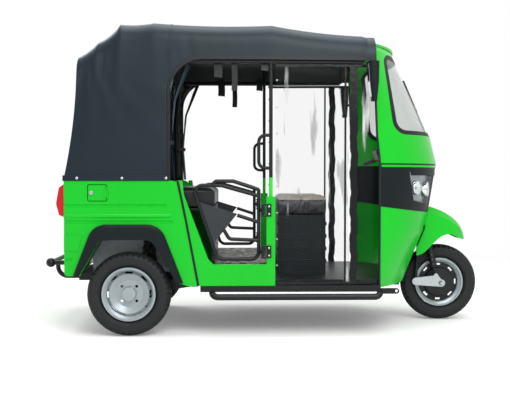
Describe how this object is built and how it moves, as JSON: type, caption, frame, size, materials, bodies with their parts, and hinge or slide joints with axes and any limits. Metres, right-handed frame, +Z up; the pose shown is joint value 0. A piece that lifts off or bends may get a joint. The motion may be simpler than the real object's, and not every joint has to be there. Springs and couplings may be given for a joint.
{
  "type": "passenger auto rickshaw",
  "caption": "Three-wheeled passenger auto rickshaw with a soft canopy, clear side curtains, tube half doors, a steered front wheel and a rear bench.",
  "frame": {"origin": "on the ground, midway along the length and on the centre line", "axes": "+X forward, +Y to the left, +Z up"},
  "size_m": [2.7499, 1.476, 1.867],
  "materials": {
    "green_paint": "gloss enamel",
    "black_steel": "satin black powder coat",
    "black_plastic": "grained moulding",
    "canopy_vinyl": "coated vinyl cloth",
    "clear_film": "soft clear film",
    "screen_glass": "laminated glass",
    "rim_silver": "silver enamel",
    "tyre": "black rubber",
    "seat_vinyl": "grained vinyl",
    "mat_rubber": "patterned rubber",
    "red_lens": "clear red moulding",
    "lamp_lens": "clear moulding",
    "panel_grey": "blow moulded",
    "cast_metal": "sand cast",
    "grip_rubber": "moulded grip",
    "bright_steel": "zinc plated"
  },
  "bodies": {
    "chassis": {"frame": "black_steel", "floor_pan": "black_steel", "floor_mat": "mat_rubber", "side_panels": "green_paint", "rear_side_left": "green_paint", "rear_side_right": "green_paint", "rear_panel": "green_paint", "wheel_flares": "black_plastic", "wheel_liners": "black_plastic", "tail_lamps": "red_lens", "rear_bumper": "black_steel", "side_steps": "black_steel", "cowl_lower": "green_paint", "cowl_band": "black_plastic", "cowl_upper": "green_paint", "headlamps": "lamp_lens", "screen_seal": "grip_rubber", "windscreen": "screen_glass", "wiper": "black_plastic", "front_bulkhead": "black_steel", "front_mudguard": "green_paint", "dashboard": "black_plastic", "mirrors": "black_plastic", "canopy": "canopy_vinyl", "rear_window": "clear_film", "roof_bows": "black_steel", "roof_rails": "black_steel", "b_pillars": "black_steel", "tie_down_lugs": "black_steel", "hand_grips": "grip_rubber", "driver_curtains": "clear_film", "gathered_curtains": "canopy_vinyl", "driver_seat": "seat_vinyl", "driver_seat_base": "black_plastic", "bench_base": "black_steel", "bench_cushion": "seat_vinyl", "bench_backrest": "seat_vinyl", "engine": "cast_metal", "trailing_arms": "black_steel", "rear_shocks": "black_steel", "hinge_brackets": "black_steel"},
    "steering": {"fork": "black_steel", "front_links": "bright_steel", "front_shocks": "black_steel", "front_axle": "bright_steel", "handlebar": "black_steel", "handlebar_grips": "grip_rubber"},
    "front_wheel": {"front_tyre": "tyre", "front_rim": "rim_silver"},
    "rear_wheel_left": {"rear_tyre_left": "tyre", "rear_rim_left": "rim_silver"},
    "rear_wheel_right": {"rear_tyre_right": "tyre", "rear_rim_right": "rim_silver"},
    "door_left": {"door_left": "black_steel", "door_panel_left": "panel_grey"},
    "door_right": {"door_right": "black_steel", "door_panel_right": "panel_grey"},
    "fuel_flap": {"fuel_flap": "green_paint"},
    "engine_lid": {"engine_lid": "green_paint"}
  },
  "joints": [
    {"name": "steering_turn", "type": "hinge", "parent": "chassis", "child": "steering", "pos_m": [1, 0, 0.52], "axis": [-0.4067, 0, 0.9135], "range_deg": [-38, 38]},
    {"name": "front_wheel_spin", "type": "hinge", "parent": "steering", "child": "front_wheel", "pos_m": [1.125, 0, 0.25], "axis": [0, 1, 0], "continuous": true},
    {"name": "rear_wheel_left_spin", "type": "hinge", "parent": "chassis", "child": "rear_wheel_left", "pos_m": [-0.865, 0.565, 0.25], "axis": [0, 1, 0], "continuous": true},
    {"name": "rear_wheel_right_spin", "type": "hinge", "parent": "chassis", "child": "rear_wheel_right", "pos_m": [-0.865, -0.565, 0.25], "axis": [0, 1, 0], "continuous": true},
    {"name": "door_left_swing", "type": "hinge", "parent": "chassis", "child": "door_left", "pos_m": [-0.068, 0.632, 0.6], "axis": [0, 0, -1], "range_deg": [0, 95]},
    {"name": "door_right_swing", "type": "hinge", "parent": "chassis", "child": "door_right", "pos_m": [-0.068, -0.632, 0.6], "axis": [0, 0, 1], "range_deg": [0, 95]},
    {"name": "fuel_flap_swing", "type": "hinge", "parent": "chassis", "child": "fuel_flap", "pos_m": [-0.986, -0.625, 0.853], "axis": [0, 0, 1], "range_deg": [0, 100]},
    {"name": "engine_lid_swing", "type": "hinge", "parent": "chassis", "child": "engine_lid", "pos_m": [-1.252, 0, 0.886], "axis": [0, 1, 0], "range_deg": [0, 80]}
  ]
}
